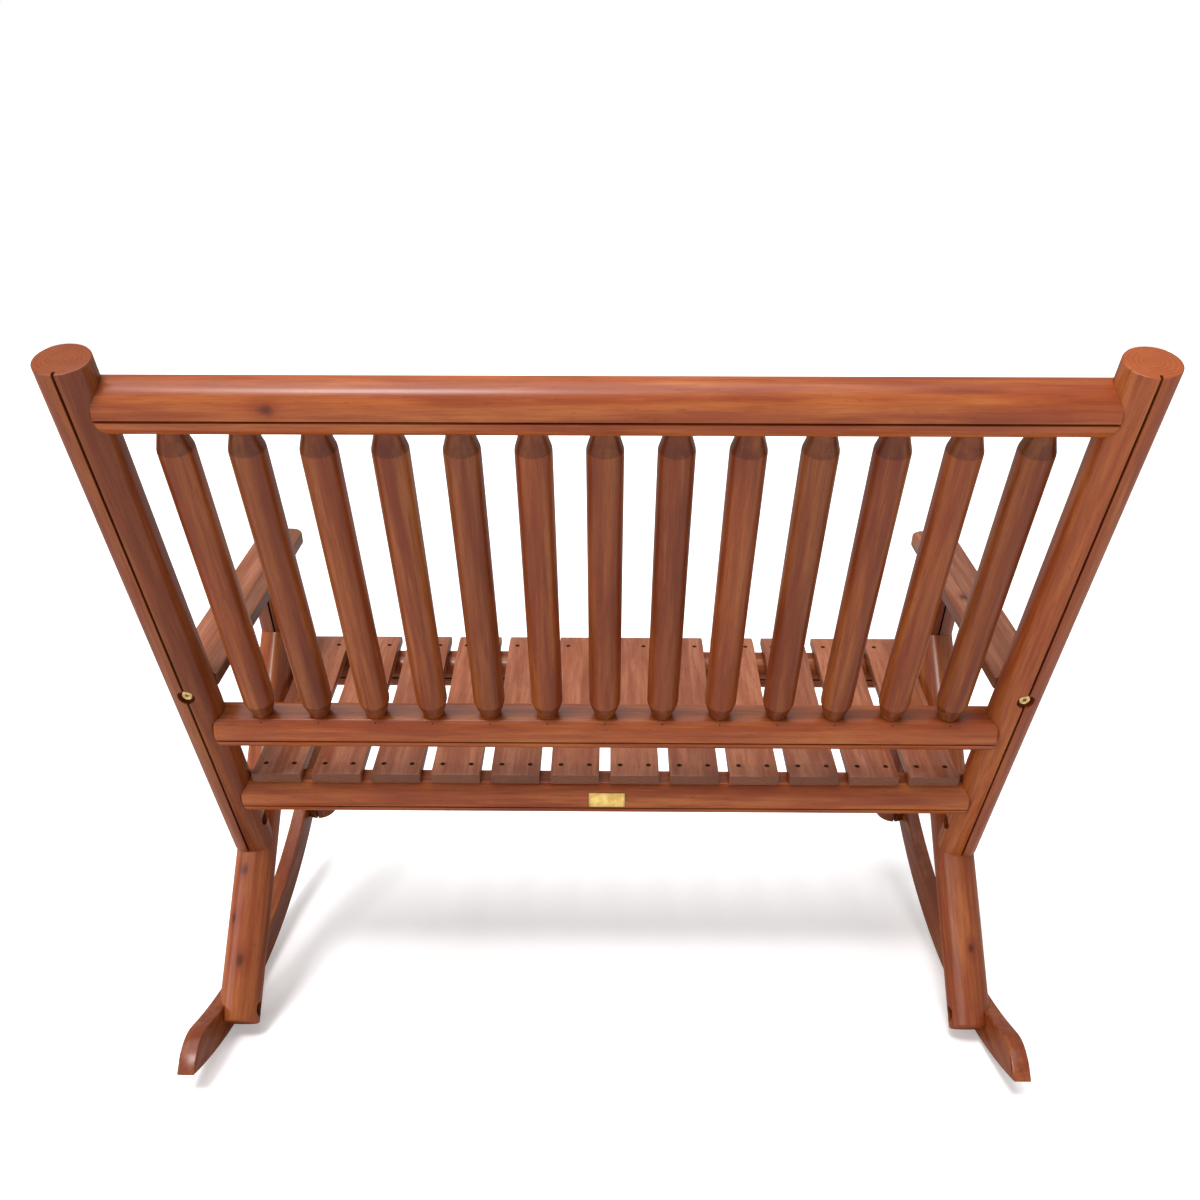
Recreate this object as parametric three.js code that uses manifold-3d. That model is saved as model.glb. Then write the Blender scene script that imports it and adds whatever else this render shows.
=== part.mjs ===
import * as THREE from "three";
import { mergeVertices } from "three/addons/utils/BufferGeometryUtils.js";
import Module from "manifold-3d";

const wasm = await Module();
wasm.setup();

// Everything is in millimetres. The bench is drawn in its seat's own frame and tilted as a whole at the end:
// X runs along the bench, Y to the rear, Z up from the seat, and the origin is on the slats' rear top edge.
const degree = Math.PI / 180;
const quarterTurn = 90 * degree;

// Logs
const logRadius = 33;
const logRim = 4;
const logSides = 24;
const rimSteps = 2;

// Saw kerfs that keep the logs from splitting
const kerfWidth = 3.5;
const kerfDepth = 7;
const railKerfTurn = -3 * degree;

// Fits and cuts
const restGap = 0.3;
const overrun = 10;

// Back posts
const postSpacing = 1200;
const postInset = 8.6;
const backRecline = 14.5 * degree;
const postAboveTopRail = 61;
const postBelowSeat = 190;

// Rails between the posts, by their place along the posts and across them
const railEndInset = 20;
const topRailHeight = 665;
const postAboveSeat = topRailHeight + postAboveTopRail;
const topRailForward = 5;
const lowerRailHeight = 117;
const lowerRailBackward = 4;
const seatRailDrop = 49;

// Spindles of the back
const spindleCount = 13;
const spindleSideGap = 58.9;
const spindlePitch = (postSpacing - 2 * (logRadius + spindleSideGap)) / (spindleCount - 1);
const spindleRadius = 22.8;
const spindleNeckRadius = 14.5;
const spindleTaper = 28;
const spindleTenon = 18;
const spindleFlat = 4;
const spindleSides = 14;

// Seat slats and the front rail that carries them
const slatCount = 12;
const slatGap = 17.3;
const slatSideGap = 8;
const slatSpan = postSpacing - 2 * (logRadius + slatSideGap);
const slatWidth = (slatSpan - (slatCount - 1) * slatGap) / slatCount;
const slatLength = 440;
const slatThickness = 17.7;
const slatDish = 3.6;
const slatRise = 4.1;
const slatNose = 7;
const frontRailFromRear = 398;
const frontRailDrop = 49;

// Points of a slat's top: how far along the slat, then how much of the dish and of the front rise
const slatTopShares = [
  [0, 0, 0],
  [0.08, 0.35, 0],
  [0.18, 0.8, 0],
  [0.36, 1, 0],
  [0.58, 1, 0],
  [0.7, 0.35, 0.2],
  [0.8, 0, 0.75],
  [0.87, 0, 1],
  [0.93, 0, 0.8],
];

// Legs: the long rear ones slope forward to the front ones, which stand nearly in line with the posts
const legInset = 2.5;
const legSpacing = postSpacing - 2 * legInset;
const rearLegLean = 53.5 * degree;
const rearLegAhead = 2.8;
const rearLegDrop = 238;
const frontLegLean = 6.2 * degree;
const frontLegFromRear = 386.3;

// Rockers
const rockerRadius = 981;
const rockerCentreForward = 179;
const rockerCentreHeight = 517.7;
const rockerDepth = 54;
const rockerThickness = 27;
const rockerNotchDepth = 16;
const rockerInnerFace = legSpacing / 2 + logRadius - rockerNotchDepth;
const rockerTail = 31.3 * degree;
const rockerToe = 20.5 * degree;
const rockerEndSlant = 27;
const rockerCornerShare = 0.7;
const rockerFaceStep = 2 * degree;
const cornerSteps = 7;
const rearFootClearance = 1;
const frontFootClearance = 8;

// Armrests
const armTop = 205;
const armThickness = 21;
const armWidth = 75.5;
const armFromRear = 470;
const armHornBehind = 28;
const armOutset = 3;
const armTurn = 2 * degree;
const armCornerRadius = 22;

// Bolts
const boltHeadRadius = 8.5;
const boltHeadHeight = 4;
const boltShankRadius = 4;
const boltSocketRadius = 3;
const boltSocketDepth = 2.5;
const boltSides = 10;
const hexSides = 6;
const counterboreSides = 14;
const counterboreRadius = 12.5;
const counterboreDepth = 12;
const boltReach = 50;
const armBoltHeight = 191;
const pocketDrop = 126;
const pocketPastAxis = 11;
const nutRadius = 7.5;
const nutHeight = 6.5;
const rockerBoltInset = 38;
const rockerBoltStop = 5;

// Name plate, left bare
const plateLength = 57;
const plateHeight = 24;
const plateThickness = 1.2;
const plateTurn = 26.5 * degree;
const plateRightward = 3.5;
const plateSteps = 6;

// How much heavier the metal is than the wood, for the point of balance
const metalToWood = 12;

// Finishes
const logWood = new THREE.MeshStandardMaterial({ color: 0x9a4a28, roughness: 0.42, metalness: 0 });
const boardWood = new THREE.MeshStandardMaterial({ color: 0x9c5a42, roughness: 0.5, metalness: 0 });
const boltSteel = new THREE.MeshStandardMaterial({ color: 0xb59a62, roughness: 0.35, metalness: 1 });
const plateBrass = new THREE.MeshStandardMaterial({ color: 0xc7a25a, roughness: 0.3, metalness: 1 });

const alongX = new THREE.Vector3(1, 0, 0);
const alongY = new THREE.Vector3(0, 1, 0);
const alongZ = new THREE.Vector3(0, 0, 1);

function vector(x, y, z) {
  return new THREE.Vector3(x, y, z);
}

// A unit direction in the YZ plane: straight up, leaned to the rear by an angle
function leaned(angle) {
  return vector(0, Math.sin(angle), Math.cos(angle));
}

// The direction square to a leaned one, facing the rear
function facing(angle) {
  return vector(0, Math.cos(angle), -Math.sin(angle));
}

function pointAlong(start, direction, distance) {
  return start.clone().addScaledVector(direction, distance);
}

function toSolid(geometry) {
  const bare = geometry.clone();
  bare.deleteAttribute("normal");
  bare.deleteAttribute("uv");
  const merged = mergeVertices(bare);
  const corners = merged.index.array;
  const kept = [];
  for (let i = 0; i < corners.length; i += 3) {
    const [a, b, c] = [corners[i], corners[i + 1], corners[i + 2]];
    if (a !== b && b !== c && c !== a) {
      kept.push(a, b, c);
    }
  }
  const mesh = new wasm.Mesh({
    numProp: 3,
    vertProperties: new Float32Array(merged.attributes.position.array),
    triVerts: new Uint32Array(kept),
  });
  return new wasm.Manifold(mesh);
}

function toGeometry(solid) {
  const mesh = solid.getMesh();
  const geometry = new THREE.BufferGeometry();
  geometry.setAttribute("position", new THREE.BufferAttribute(new Float32Array(mesh.vertProperties), 3));
  geometry.setIndex(new THREE.BufferAttribute(new Uint32Array(mesh.triVerts), 1));
  return geometry;
}

function cutAll(solid, cutters) {
  return cutters.reduce((left, cutter) => left.subtract(cutter), solid);
}

// A turned solid whose axis runs from a start along a direction; its first corner looks to one side.
// Its profile lists radii and distances from the start.
function turned(profile, start, direction, side, sides) {
  const points = profile.map(([radius, distance]) => new THREE.Vector2(radius, distance));
  const geometry = new THREE.LatheGeometry(points, sides);
  const across = new THREE.Vector3().crossVectors(direction, side);
  geometry.applyMatrix4(new THREE.Matrix4().makeBasis(across, direction, side).setPosition(start));
  return toSolid(geometry);
}

function rod(radius, start, direction, length, side, sides) {
  return turned([[0, 0], [radius, 0], [radius, length], [0, length]], start, direction, side, sides);
}

// The quarter round of a sawn end's rim, from the end face to the log's side
function rimProfile(radius, end, inward) {
  const points = [];
  for (let step = 0; step <= rimSteps; step += 1) {
    const turn = (step / rimSteps) * 90 * degree;
    points.push([radius - logRim * (1 - Math.sin(turn)), end + inward * logRim * (1 - Math.cos(turn))]);
  }
  return points;
}

function log(start, direction, length, side) {
  const profile = [
    [0, 0],
    ...rimProfile(logRadius, 0, 1),
    ...rimProfile(logRadius, length, -1).reverse(),
    [0, length],
  ];
  return turned(profile, start, direction, side, logSides);
}

// The room that a log takes up in a piece that is coped against it
function logCutter(start, direction, length, side) {
  const from = pointAlong(start, direction, -overrun);
  return rod(logRadius + restGap, from, direction, length + 2 * overrun, side, logSides);
}

// A box from a corner frame: its middle, its sizes and its three directions
function block(middle, sizes, directions) {
  const geometry = new THREE.BoxGeometry(...sizes);
  geometry.applyMatrix4(new THREE.Matrix4().makeBasis(...directions).setPosition(middle));
  return toSolid(geometry);
}

// A saw kerf along a log, open to the side that it faces
function kerf(start, direction, length, side) {
  const depth = kerfDepth + overrun;
  const middle = pointAlong(pointAlong(start, direction, length / 2), side, logRadius - kerfDepth + depth / 2);
  const across = new THREE.Vector3().crossVectors(direction, side);
  return block(middle, [kerfWidth, length + 2 * overrun, depth], [across, direction, side]);
}

// A planed flat along a log, cut down by a depth on the side that it faces
function planedFlat(start, direction, length, side, depth) {
  const middle = pointAlong(pointAlong(start, direction, length / 2), side, logRadius - depth + overrun / 2);
  const across = new THREE.Vector3().crossVectors(direction, side);
  return block(middle, [2 * logRadius, length + 2 * overrun, overrun], [across, direction, side]);
}

// A closed outline in the YZ plane, extruded along X
function extrudedAlongX(outline, fromX, width) {
  const shape = new THREE.Shape(outline.map(([y, z]) => new THREE.Vector2(y, z)));
  const geometry = new THREE.ExtrudeGeometry(shape, { depth: width, bevelEnabled: false });
  geometry.applyMatrix4(new THREE.Matrix4().makeBasis(alongY, alongZ, alongX).setPosition(vector(fromX, 0, 0)));
  return toSolid(geometry);
}

// Posts
const postUp = leaned(backRecline);
const postRear = facing(backRecline);

function postPoint(x, height, backward) {
  return pointAlong(pointAlong(vector(x, -postInset, 0), postUp, height), postRear, backward);
}

function postAxis(side) {
  const start = postPoint((side * postSpacing) / 2, -postBelowSeat, 0);
  return [start, postUp, postAboveSeat + postBelowSeat, postRear];
}

// Legs
const rearLegUp = leaned(-rearLegLean);
const rearLegRear = facing(-rearLegLean);
const frontLegUp = leaned(frontLegLean);
const frontLegRear = facing(frontLegLean);
const rockerCentre = vector(0, -rockerCentreForward, rockerCentreHeight);

function rearLegPoint(side) {
  return vector((side * legSpacing) / 2, -rearLegAhead, -rearLegDrop);
}

function frontLegPoint(side) {
  return vector((side * legSpacing) / 2, -frontLegFromRear, 0);
}

// How far down a line a circle round the rockers' centre lies
function distanceToCircle(start, down, radius) {
  const fromCentre = start.clone().sub(rockerCentre).setX(0);
  const half = fromCentre.dot(down);
  return -half + Math.sqrt(half * half - fromCentre.lengthSq() + radius * radius);
}

function pointOnCircle(start, up, radius) {
  const down = up.clone().negate();
  return pointAlong(start, down, distanceToCircle(start, down, radius));
}

// Where two axes in the YZ plane cross, as a distance along the first one
function crossing(start, direction, otherStart, otherDirection) {
  const gap = otherStart.clone().sub(start);
  const turn = direction.y * otherDirection.z - direction.z * otherDirection.y;
  return (gap.y * otherDirection.z - gap.z * otherDirection.y) / turn;
}

// The centre of a leg's foot, which is sawn square: the edge of it that is turned to the front reaches
// lowest, and keeps clear of the rockers' lower edge
function legFoot(start, up, rear, clearance) {
  const edge = pointAlong(start, rear, -logRadius);
  return pointAlong(pointOnCircle(edge, up, rockerRadius - clearance), rear, logRadius);
}

function rearLegAxis(side) {
  const foot = legFoot(rearLegPoint(side), rearLegUp, rearLegRear, rearFootClearance);
  const length = crossing(foot, rearLegUp, frontLegPoint(side), frontLegUp);
  return [foot, rearLegUp, length, rearLegRear];
}

function frontLegAxis(side) {
  const foot = legFoot(frontLegPoint(side), frontLegUp, frontLegRear, frontFootClearance);
  const top = pointAlong(frontLegPoint(side), frontLegUp, (armTop - armThickness) / frontLegUp.z);
  return [foot, frontLegUp, foot.distanceTo(top) + overrun * 2, frontLegRear];
}

// Rails
function railAxis(height, backward, halfLength) {
  const start = postPoint(-halfLength, height, backward);
  return [start, alongX, 2 * halfLength];
}

const backRailHalf = postSpacing / 2 - railEndInset;
const topRail = railAxis(topRailHeight, -topRailForward, backRailHalf);
const lowerRail = railAxis(lowerRailHeight, lowerRailBackward, backRailHalf);
const rearSeatRail = railAxis(-seatRailDrop, 0, backRailHalf);
const frontRailHalf = legSpacing / 2 - railEndInset;
const frontSeatRail = [vector(-frontRailHalf, -frontRailFromRear, -frontRailDrop), alongX, 2 * frontRailHalf];

// A direction square to X, turned down from a rearward one
function turnedDown(side, angle) {
  return side.clone().applyAxisAngle(alongX, angle);
}

// Bolts: a place for the head's seat, the direction that the bolt is driven in, and its length under the head
function boltPlace(surface, direction, length) {
  return { seat: pointAlong(surface, direction, counterboreDepth), direction, length };
}

function sideOf(direction) {
  return Math.abs(direction.x) > 0.5 ? alongZ : alongX;
}

function boltHole({ seat, direction, length }) {
  const side = sideOf(direction);
  const back = pointAlong(seat, direction, -logRadius);
  const bore = rod(counterboreRadius, back, direction, logRadius, side, counterboreSides);
  const start = pointAlong(seat, direction, -overrun);
  const hole = rod(boltShankRadius + restGap, start, direction, length + overrun + restGap, side, boltSides);
  return bore.add(hole);
}

function bolt({ seat, direction, length }) {
  const side = sideOf(direction);
  const head = pointAlong(seat, direction, -boltHeadHeight - restGap);
  const under = boltHeadHeight;
  const tip = boltShankRadius / 2;
  const body = turned(
    [
      [0, 0],
      [boltHeadRadius - tip / 2, 0],
      [boltHeadRadius, tip / 2],
      [boltHeadRadius, under],
      [boltShankRadius, under],
      [boltShankRadius, under + length - tip],
      [boltShankRadius - tip / 2, under + length],
      [0, under + length],
    ],
    head, direction, side, boltSides,
  );
  const start = pointAlong(head, direction, -overrun);
  return body.subtract(rod(boltSocketRadius, start, direction, overrun + boltSocketDepth, side, hexSides));
}

const shankToRail = logRadius - counterboreDepth;

function railBolt(side, [start, , length]) {
  const middle = pointAlong(start, alongX, length / 2);
  const outer = middle.clone().setX(side * (postSpacing / 2 + logRadius));
  return boltPlace(outer, vector(-side, 0, 0), shankToRail + logRadius + boltReach);
}

function frontRailBolt(side, [start, , length]) {
  const middle = pointAlong(start, alongX, length / 2);
  const outer = middle.clone().setX(side * (legSpacing / 2 + logRadius));
  return boltPlace(outer, vector(-side, 0, 0), shankToRail + logRadius + boltReach);
}

function armBolt(side) {
  const rear = pointAlong(postPoint(0, 0, 0), postUp, armBoltHeight / postUp.z);
  const surface = vector((side * postSpacing) / 2, rear.y + logRadius / postRear.y, armBoltHeight);
  return boltPlace(surface, vector(0, -1, 0), shankToRail + logRadius + boltReach);
}

function postLegBolt(side) {
  const [foot, up] = postAxis(side);
  const toLeg = crossing(foot, up, rearLegPoint(side), rearLegUp);
  const across = Math.abs(up.y * rearLegUp.z - up.z * rearLegUp.y);
  const surface = pointAlong(foot, up, toLeg - logRadius / across);
  const nut = postPoint(foot.x, -pocketDrop, 0);
  return boltPlace(surface, up, surface.distanceTo(nut) - counterboreDepth + nutHeight);
}

function rockerBolt(side, start, up) {
  const place = pointOnCircle(start, up, rockerRadius - rockerBoltInset);
  const surface = place.clone().setX(side * (legSpacing / 2 - logRadius));
  const seatX = legSpacing / 2 - logRadius + counterboreDepth;
  const end = rockerInnerFace + rockerThickness - rockerBoltStop;
  return boltPlace(surface, vector(side, 0, 0), end - seatX);
}

function braceBolt(side) {
  const [foot, up, length] = rearLegAxis(side);
  const across = Math.abs(up.y * frontLegUp.z - up.z * frontLegUp.y);
  const surface = pointAlong(foot, up, length + logRadius / across);
  return boltPlace(surface, up.clone().negate(), 2 * (logRadius / across) - counterboreDepth + boltReach);
}

// The pocket in a post's inner side where the nut is run onto the bolt that comes up through the leg
function nutPocket(side) {
  const middle = postPoint((side * postSpacing) / 2, -pocketDrop, 0);
  const start = middle.clone().setX(side * (postSpacing / 2 + pocketPastAxis));
  const depth = logRadius + pocketPastAxis + overrun;
  return rod(counterboreRadius, start, vector(-side, 0, 0), depth, alongZ, counterboreSides);
}

function postLegNut(side) {
  const { seat, direction, length } = postLegBolt(side);
  const floor = postPoint((side * postSpacing) / 2, -pocketDrop, 0);
  const start = pointAlong(floor, direction, -nutHeight / 2);
  const body = rod(nutRadius, start, direction, nutHeight, alongX, hexSides);
  const from = pointAlong(seat, direction, overrun);
  return body.subtract(rod(boltShankRadius + restGap, from, direction, length, alongX, boltSides));
}

// Spindles run between the axes of the lower and top back rails
function spindleAxis(index) {
  const x = ((spindleCount - 1) / 2 - index) * spindlePitch;
  const low = postPoint(x, lowerRailHeight, lowerRailBackward);
  const high = postPoint(x, topRailHeight, -topRailForward);
  return [low, high.clone().sub(low).normalize(), low.distanceTo(high)];
}

function spindle(index) {
  const [low, direction, length] = spindleAxis(index);
  const first = logRadius - spindleTenon;
  const neck = logRadius - spindleFlat + restGap;
  const full = neck + spindleTaper;
  const profile = [
    [0, first],
    [spindleNeckRadius, first],
    [spindleNeckRadius, neck],
    [spindleRadius, full],
    [spindleRadius, length - full],
    [spindleNeckRadius, length - neck],
    [spindleNeckRadius, length - first],
    [0, length - first],
  ];
  return turned(profile, low, direction, facing(Math.atan2(direction.y, direction.z)), spindleSides);
}

function spindleSockets() {
  const sockets = [];
  for (let index = 0; index < spindleCount; index += 1) {
    const [low, direction, length] = spindleAxis(index);
    const side = facing(Math.atan2(direction.y, direction.z));
    const start = logRadius - spindleTenon - restGap;
    const depth = spindleTenon + restGap + overrun;
    const radius = spindleNeckRadius + restGap;
    sockets.push(rod(radius, pointAlong(low, direction, start), direction, depth, side, spindleSides));
    sockets.push(rod(radius, pointAlong(low, direction, length - start - depth), direction, depth, side, spindleSides));
  }
  return sockets;
}

// The rockers' band: arcs round the rockers' centre, in faces of one step each.
// The face that the bench stands on is two steps long.
function arcPoints(radius, fromAngle, toAngle, standing) {
  const angles = [fromAngle];
  const first = Math.ceil((fromAngle - standing) / rockerFaceStep);
  for (let k = first; standing + k * rockerFaceStep < toAngle; k += 1) {
    const angle = standing + k * rockerFaceStep;
    if (k !== 0 && angle > fromAngle) {
      angles.push(angle);
    }
  }
  angles.push(toAngle);
  return angles.map((angle) => circlePoint(radius, angle));
}

function circlePoint(radius, angle) {
  return [radius * Math.sin(angle) - rockerCentreForward, rockerCentreHeight - radius * Math.cos(angle)];
}

// The rounded upper corner at an end of a rocker, from the end face to the top edge
function rockerCorner(endAngle, inward) {
  const top = rockerRadius - rockerDepth;
  const corner = new THREE.Vector2(...circlePoint(top, endAngle + (inward * rockerEndSlant) / top));
  const bottom = new THREE.Vector2(...circlePoint(rockerRadius, endAngle));
  const cut = corner.distanceTo(bottom) * rockerCornerShare;
  const onEnd = corner.clone().lerp(bottom, rockerCornerShare);
  const topAngle = endAngle + (inward * (rockerEndSlant + cut)) / top;
  const onTop = new THREE.Vector2(...circlePoint(top, topAngle));
  const curve = new THREE.QuadraticBezierCurve(onEnd, corner, onTop);
  return { points: curve.getPoints(cornerSteps).map((p) => [p.x, p.y]), topAngle };
}

function rockerOutline(standing) {
  const tail = rockerCorner(rockerTail, -1);
  const toe = rockerCorner(-rockerToe, 1);
  const lower = arcPoints(rockerRadius, -rockerToe, rockerTail, standing);
  const upper = arcPoints(rockerRadius - rockerDepth, toe.topAngle, tail.topAngle, standing);
  return [...lower, ...tail.points, ...upper.reverse().slice(1, -1), ...toe.points.reverse()];
}

function rocker(side, standing) {
  const from = side > 0 ? rockerInnerFace : -rockerInnerFace - rockerThickness;
  const body = extrudedAlongX(rockerOutline(standing), from, rockerThickness);
  const bolts = [
    rockerBolt(side, rearLegPoint(side), rearLegUp),
    rockerBolt(side, frontLegPoint(side), frontLegUp),
  ];
  return cutAll(body, bolts.map(boltHole));
}

// The notch that lets a leg stand against a rocker: the band's own space, grown by the gap
function rockerNotch(side, standing) {
  const inner = arcPoints(rockerRadius - rockerDepth - restGap, -rockerToe, rockerTail, standing);
  const outer = arcPoints(rockerRadius + 4 * overrun, -rockerToe, rockerTail, standing);
  const face = rockerInnerFace - restGap;
  const from = side > 0 ? face : -face - logRadius;
  return extrudedAlongX([...outer, ...inner.reverse()], from, logRadius);
}

function backPost(side) {
  const axis = postAxis(side);
  const cutters = [
    kerf(...axis),
    logCutter(...rearLegAxis(side)),
    nutPocket(side),
    boltHole(postLegBolt(side)),
    boltHole(armBolt(side)),
    ...[topRail, lowerRail, rearSeatRail].map((rail) => boltHole(railBolt(side, rail))),
  ];
  return cutAll(log(...axis), cutters);
}

function rearLeg(side, standing) {
  const axis = rearLegAxis(side);
  const cutters = [
    rockerNotch(side, standing),
    logCutter(...frontLegAxis(side)),
    boltHole(postLegBolt(side)),
    boltHole(rockerBolt(side, rearLegPoint(side), rearLegUp)),
    boltHole(braceBolt(side)),
  ];
  return cutAll(log(...axis), cutters);
}

function frontLeg(side, standing) {
  const axis = frontLegAxis(side);
  const top = armTop - armThickness - restGap;
  const size = 4 * logRadius;
  const above = frontLegPoint(side).setZ(top + size / 2);
  const cutters = [
    kerf(...axis),
    block(above, [size, size, size], [alongX, alongY, alongZ]),
    rockerNotch(side, standing),
    boltHole(rockerBolt(side, frontLegPoint(side), frontLegUp)),
    boltHole(braceBolt(side)),
    boltHole(frontRailBolt(side, frontSeatRail)),
  ];
  return cutAll(log(...axis), cutters);
}

function backRail(rail, kerfTurn, extraCutters) {
  const cutters = [kerf(...rail, turnedDown(postRear, kerfTurn)), ...extraCutters];
  for (const side of [1, -1]) {
    cutters.push(logCutter(...postAxis(side)));
    cutters.push(boltHole(railBolt(side, rail)));
  }
  return cutAll(log(...rail, postRear), cutters);
}

// The flat that the slats rest on, at one height on both seat rails
function seatFlat(rail) {
  const height = -slatThickness - restGap;
  const depth = rail[0].z + logRadius - height;
  return planedFlat(...rail, alongZ, depth);
}

function frontRail() {
  const cutters = [kerf(...frontSeatRail, turnedDown(alongY, railKerfTurn)), seatFlat(frontSeatRail)];
  for (const side of [1, -1]) {
    cutters.push(logCutter(...frontLegAxis(side)));
    cutters.push(boltHole(frontRailBolt(side, frontSeatRail)));
  }
  return cutAll(log(...frontSeatRail, alongY), cutters);
}

function spindleFlatOn(rail, upward) {
  const [, direction] = spindleAxis(0);
  return planedFlat(...rail, direction.clone().multiplyScalar(upward), spindleFlat);
}

// A slat's side outline: a dished top, a rounded nose and a flat underside
function slatOutline() {
  const top = slatTopShares.map(([along, dish, rise]) => [-along * slatLength, rise * slatRise - dish * slatDish]);
  const nose = [
    [-slatLength + slatNose / 3, -slatNose / 2],
    [-slatLength, -slatNose],
    [-slatLength, -slatThickness + slatNose / 3],
    [-slatLength + slatNose / 3, -slatThickness],
  ];
  return [...top, ...nose, [0, -slatThickness]];
}

function seatSlat(index) {
  const pitch = slatWidth + slatGap;
  const middle = ((slatCount - 1) / 2 - index) * pitch;
  return extrudedAlongX(slatOutline(), middle - slatWidth / 2, slatWidth);
}

// An armrest: a board with rounded front corners, its front turned a little inward.
// Its rear end is coped to the post.
function armrest(side) {
  const half = armWidth / 2;
  const corner = half - armCornerRadius;
  const front = armCornerRadius - armFromRear;
  const shape = new THREE.Shape();
  shape.moveTo(-half, armHornBehind);
  shape.lineTo(-half, front);
  shape.absarc(-corner, front, armCornerRadius, 2 * quarterTurn, 3 * quarterTurn, false);
  shape.absarc(corner, front, armCornerRadius, 3 * quarterTurn, 4 * quarterTurn, false);
  shape.lineTo(half, armHornBehind);
  const options = { depth: armThickness, bevelEnabled: false, curveSegments: cornerSteps };
  const geometry = new THREE.ExtrudeGeometry(shape, options);
  geometry.rotateZ(-side * armTurn);
  geometry.translate(side * (postSpacing / 2 + armOutset), 0, armTop - armThickness);
  return cutAll(toSolid(geometry), [logCutter(...postAxis(side)), boltHole(armBolt(side))]);
}

// The bare plate, bent round the rear seat rail
function namePlate() {
  const inner = logRadius + restGap;
  const outer = inner + plateThickness;
  const half = plateHeight / (2 * logRadius);
  const middle = rearSeatRail[0];
  const base = plateTurn - backRecline;
  const arc = (radius) => {
    const points = [];
    for (let step = 0; step <= plateSteps; step += 1) {
      const angle = base - half + (2 * half * step) / plateSteps;
      points.push([middle.y + radius * Math.cos(angle), middle.z + radius * Math.sin(angle)]);
    }
    return points;
  };
  return extrudedAlongX([...arc(outer), ...arc(inner).reverse()], -plateLength / 2 - plateRightward, plateLength);
}

function piece(name, solid, material) {
  const mesh = new THREE.Mesh(toGeometry(solid), material);
  mesh.name = name;
  return mesh;
}

function numbered(name, index) {
  return `${name}_${String(index + 1).padStart(2, "0")}`;
}

function bothSides(make) {
  return [...make(1, "left"), ...make(-1, "right")];
}

function legsAndRocker(standing) {
  return (side, name) => [
    piece(`rear_leg_${name}`, rearLeg(side, standing), logWood),
    piece(`front_leg_${name}`, frontLeg(side, standing), logWood),
    piece(`rocker_${name}`, rocker(side, standing), logWood),
  ];
}

function postAndArm(side, name) {
  return [
    piece(`back_post_${name}`, backPost(side), logWood),
    piece(`armrest_${name}`, armrest(side), boardWood),
  ];
}

function fasteners(side, name) {
  const bolts = {
    arm_bolt: armBolt(side),
    post_leg_bolt: postLegBolt(side),
    leg_bolt: braceBolt(side),
    rear_rocker_bolt: rockerBolt(side, rearLegPoint(side), rearLegUp),
    front_rocker_bolt: rockerBolt(side, frontLegPoint(side), frontLegUp),
    top_rail_bolt: railBolt(side, topRail),
    lower_back_rail_bolt: railBolt(side, lowerRail),
    rear_seat_rail_bolt: railBolt(side, rearSeatRail),
    front_seat_rail_bolt: frontRailBolt(side, frontSeatRail),
  };
  const meshes = Object.entries(bolts).map(([kind, place]) => piece(`${kind}_${name}`, bolt(place), boltSteel));
  return [...meshes, piece(`post_leg_nut_${name}`, postLegNut(side), boltSteel)];
}

function railsAndPlate() {
  const sockets = spindleSockets();
  const top = backRail(topRail, railKerfTurn, [spindleFlatOn(topRail, -1), ...sockets]);
  const lower = backRail(lowerRail, railKerfTurn, [spindleFlatOn(lowerRail, 1), ...sockets]);
  return [
    piece("top_rail", top, logWood),
    piece("lower_back_rail", lower, logWood),
    piece("rear_seat_rail", backRail(rearSeatRail, railKerfTurn, [seatFlat(rearSeatRail)]), logWood),
    piece("front_seat_rail", frontRail(), logWood),
    piece("name_plate", namePlate(), plateBrass),
  ];
}

// Spindles and slats are counted from the sitter's left
function repeated(name, count, make, material) {
  return Array.from({ length: count }, (_, index) => piece(numbered(name, index), make(index), material));
}

// The volume and the first moment of all pieces, from the tetrahedra under their faces
function balancePoint(pieces) {
  const corners = [vector(0, 0, 0), vector(0, 0, 0), vector(0, 0, 0)];
  const moment = vector(0, 0, 0);
  let mass = 0;
  for (const { geometry, material } of pieces) {
    const { position } = geometry.attributes;
    const weight = material.metalness > 0 ? metalToWood : 1;
    for (let i = 0; i < geometry.index.count; i += 3) {
      corners.forEach((corner, k) => corner.fromBufferAttribute(position, geometry.index.getX(i + k)));
      const [a, b, c] = corners;
      const share = (weight * a.dot(new THREE.Vector3().crossVectors(b, c))) / 6;
      moment.addScaledVector(a, share / 4).addScaledVector(b, share / 4).addScaledVector(c, share / 4);
      mass += share;
    }
  }
  return moment.divideScalar(mass);
}

// The tilt at which the weight stands over the point where the rockers touch the floor
function balanceTilt(pieces) {
  const balance = balancePoint(pieces);
  return Math.atan2(balance.y - rockerCentre.y, rockerCentre.z - balance.z);
}

const upperPieces = [
  ...bothSides(postAndArm),
  ...bothSides(fasteners),
  ...railsAndPlate(),
  ...repeated("spindle", spindleCount, spindle, logWood),
  ...repeated("seat_slat", slatCount, seatSlat, boardWood),
];
const tilt = balanceTilt([...upperPieces, ...bothSides(legsAndRocker(0))]);

// The whole bench leans back by the tilt and stands on the middle of its footprint
const seat = new THREE.Group();
seat.add(...upperPieces, ...bothSides(legsAndRocker(tilt)));
seat.rotation.x = -tilt;
seat.updateMatrixWorld(true);
const bounds = new THREE.Box3().setFromObject(seat, true);
const middle = bounds.getCenter(vector(0, 0, 0));
seat.position.set(-middle.x, -middle.y, -bounds.min.z);

const part = new THREE.Group();
part.add(seat);

export default part;
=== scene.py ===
import math

import bmesh
import bpy
from mathutils import Matrix, Vector


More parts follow.
